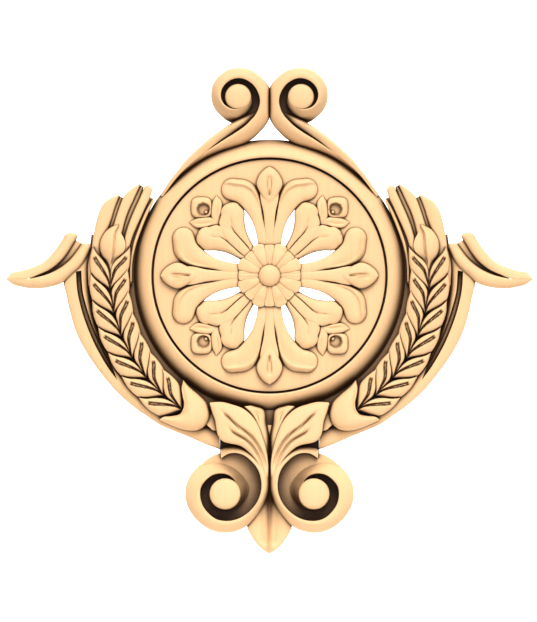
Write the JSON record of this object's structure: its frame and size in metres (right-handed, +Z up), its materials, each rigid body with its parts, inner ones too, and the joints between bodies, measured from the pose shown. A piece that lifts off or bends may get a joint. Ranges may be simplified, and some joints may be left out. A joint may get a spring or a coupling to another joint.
{
  "type": "floral crest ornament",
  "caption": "Carved crest onlay: a round medallion with a pierced rosette, crowned by volutes, flanked by ears of wheat and wings, over scrolls and a pointed leaf, with a flat back.",
  "frame": {"origin": "on the flat back, straight behind the centre of the medallion's hub", "axes": "+Z up the crest towards the crown scrolls, +X to the right as seen from the front, +Y out of the flat back, so the carved face looks to -Y"},
  "size_m": [0.3998, 0.024, 0.3691],
  "materials": {
    "carved_wood": "smooth sanded light wood with a soft satin sheen, darker in the creases"
  },
  "bodies": {
    "root": {"floral_crest": "carved_wood"}
  },
  "joints": []
}
